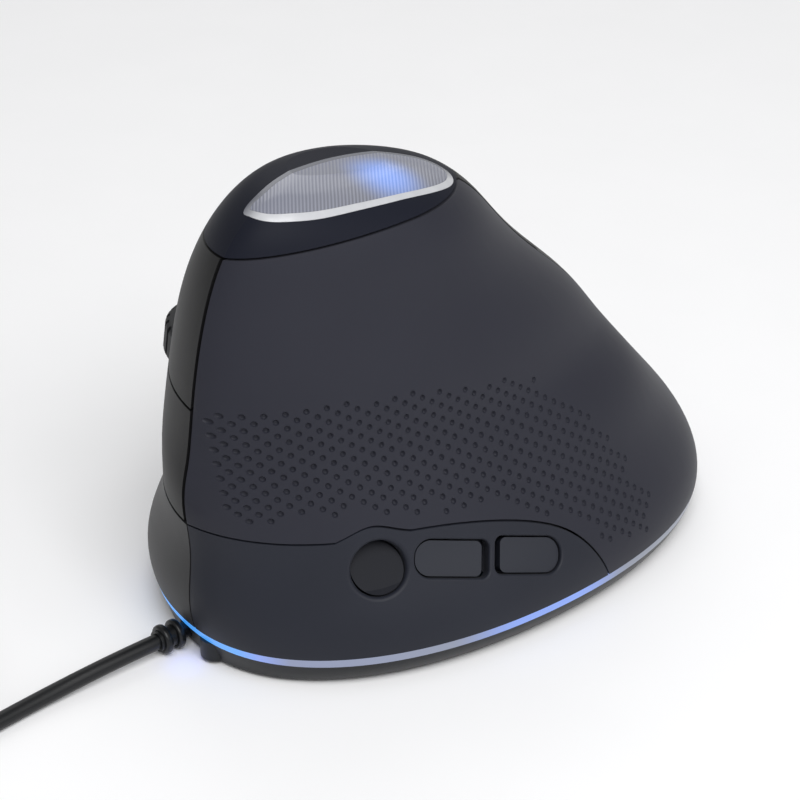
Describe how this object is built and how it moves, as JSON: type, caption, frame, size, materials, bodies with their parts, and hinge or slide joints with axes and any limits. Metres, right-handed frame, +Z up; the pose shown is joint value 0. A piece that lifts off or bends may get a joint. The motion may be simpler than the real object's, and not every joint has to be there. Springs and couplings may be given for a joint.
{
  "type": "vertical ergonomic mouse",
  "caption": "Wired upright mouse for the right hand, with hinged main buttons, a pressable scroll wheel, thumb buttons, a clear lit crown and a lit band round its foot.",
  "frame": {"origin": "on the surface the mouse stands on, under the middle of the body", "axes": "+Y to the nose where the cord leaves, +X to the finger side, -X to the thumb side, +Z up"},
  "size_m": [0.1268, 0.2168, 0.085],
  "materials": {
    "thumb_shell": "dark blue-charcoal soft-touch coat with fine dimples",
    "thumb_trim": "smooth dark charcoal",
    "thumb_keys": "smooth black, slight gloss",
    "finger_shell": "dark neutral grey, fine texture",
    "finger_keys": "dark neutral grey, fine texture",
    "crown_cap": "dark grey, fine texture",
    "bright_rim": "bright silver rim",
    "clear_lens": "clear with fine ribs, lit blue from below",
    "white_well": "white reflector",
    "lamps": "white chip with a blue glow",
    "ring_diffuser": "milky clear, lit blue",
    "base": "black",
    "feet": "slick dark low-friction pad",
    "frame": "moulded grey",
    "board": "green board",
    "chips": "black chip",
    "clear_optic": "clear optic",
    "screws": "steel",
    "header": "off-white connector",
    "cord": "black flexible sheath",
    "plug_metal": "stamped steel",
    "plug_plastic": "white insulator",
    "contacts": "gold plated",
    "ribbon": "grey ribbon",
    "switches": "black switch body",
    "plungers": "pale plunger",
    "wheel_rubber": "black ribbed rubber",
    "wheel_core": "dark grey"
  },
  "bodies": {
    "housing": {"thumb_cover": "thumb_shell", "thumb_panel": "thumb_trim", "finger_skirt": "finger_shell", "finger_panel": "finger_shell", "top_cap": "crown_cap", "lens_bezel": "bright_rim", "top_lens": "clear_lens", "light_well": "white_well", "lamp_board": "board", "top_lamps": "lamps", "light_ring": "ring_diffuser", "ring_lamps": "lamps", "base_shell": "base", "glide_feet": "feet", "inner_frame": "frame", "main_board": "board", "motion_sensor": "chips", "controller_chip": "chips", "sensor_lens": "clear_optic", "board_screws": "screws", "base_screws": "screws", "cord_header": "header", "inner_lead": "cord", "cord_gland": "cord", "cord_tube": "cord", "cord_coil": "cord", "plug_grip": "cord", "plug_shell": "plug_metal", "plug_tongue": "plug_plastic", "plug_contacts": "contacts", "button_board": "board", "thumb_board": "board", "ribbon_lead": "ribbon", "index_switch": "switches", "middle_switch": "switches", "click_switch": "switches", "thumb_switches": "switches", "index_hinge_pin": "screws", "middle_hinge_pin": "screws"},
    "index_key": {"index_button": "finger_keys"},
    "middle_key": {"middle_button": "finger_keys"},
    "index_tip": {"index_plunger": "plungers"},
    "middle_tip": {"middle_plunger": "plungers"},
    "scroll_carriage": {"scroll_yoke": "frame", "scroll_encoder": "switches"},
    "scroll_wheel": {"scroll_tyre": "wheel_rubber", "scroll_hub": "wheel_core", "scroll_axle": "screws"},
    "click_tip": {"click_plunger": "plungers"},
    "forward_key": {"forward_button": "thumb_keys"},
    "back_key": {"back_button": "thumb_keys"},
    "profile_key": {"profile_button": "thumb_keys"},
    "forward_tip": {"forward_plunger": "plungers"},
    "back_tip": {"back_plunger": "plungers"},
    "profile_tip": {"profile_plunger": "plungers"}
  },
  "joints": [
    {"name": "index_press", "type": "hinge", "parent": "housing", "child": "index_key", "pos_m": [0.01399, -0.00797, 0.0555], "axis": [0, 0, 1], "range_deg": [0, 0.5], "stiffness_Nm_per_rad": 4},
    {"name": "middle_press", "type": "hinge", "parent": "housing", "child": "middle_key", "pos_m": [0.01598, -0.005, 0.03748], "axis": [0, 0, 1], "range_deg": [0, 0.55], "stiffness_Nm_per_rad": 4},
    {"name": "index_switch_travel", "type": "slide", "parent": "housing", "child": "index_tip", "axis": [-1, 0, 0], "range_m": [0, 0.0003]},
    {"name": "middle_switch_travel", "type": "slide", "parent": "housing", "child": "middle_tip", "axis": [-1, 0, 0], "range_m": [0, 0.0003]},
    {"name": "scroll_click", "type": "slide", "parent": "housing", "child": "scroll_carriage", "axis": [-0.8258, -0.5466, -0.1392], "range_m": [0, 0.0005], "stiffness_N_per_m": 1500},
    {"name": "scroll_spin", "type": "hinge", "parent": "scroll_carriage", "child": "scroll_wheel", "pos_m": [0.01681, 0.03368, 0.04709], "axis": [-0.1161, -0.0768, 0.9903], "continuous": true},
    {"name": "click_switch_travel", "type": "slide", "parent": "housing", "child": "click_tip", "axis": [-0.8258, -0.5466, -0.1392], "range_m": [0, 0.0005]},
    {"name": "forward_press", "type": "slide", "parent": "housing", "child": "forward_key", "axis": [0.8723, -0.2171, -0.4381], "range_m": [0, 0.0005], "stiffness_N_per_m": 900},
    {"name": "forward_switch_travel", "type": "slide", "parent": "housing", "child": "forward_tip", "axis": [0.8723, -0.2171, -0.4381], "range_m": [0, 0.0005]},
    {"name": "back_press", "type": "slide", "parent": "housing", "child": "back_key", "axis": [0.8723, -0.2171, -0.4381], "range_m": [0, 0.0005], "stiffness_N_per_m": 900},
    {"name": "back_switch_travel", "type": "slide", "parent": "housing", "child": "back_tip", "axis": [0.8723, -0.2171, -0.4381], "range_m": [0, 0.0005]},
    {"name": "profile_press", "type": "slide", "parent": "housing", "child": "profile_key", "axis": [0.8723, -0.2171, -0.4381], "range_m": [0, 0.0004], "stiffness_N_per_m": 900},
    {"name": "profile_switch_travel", "type": "slide", "parent": "housing", "child": "profile_tip", "axis": [0.8723, -0.2171, -0.4381], "range_m": [0, 0.0004]}
  ],
  "couplings": [
    {"joint": "index_switch_travel", "follows": "index_press", "m_per_rad": 0.02999},
    {"joint": "middle_switch_travel", "follows": "middle_press", "m_per_rad": 0.02701},
    {"joint": "click_switch_travel", "follows": "scroll_click", "ratio": 1},
    {"joint": "forward_switch_travel", "follows": "forward_press", "ratio": 1},
    {"joint": "back_switch_travel", "follows": "back_press", "ratio": 1},
    {"joint": "profile_switch_travel", "follows": "profile_press", "ratio": 1}
  ]
}
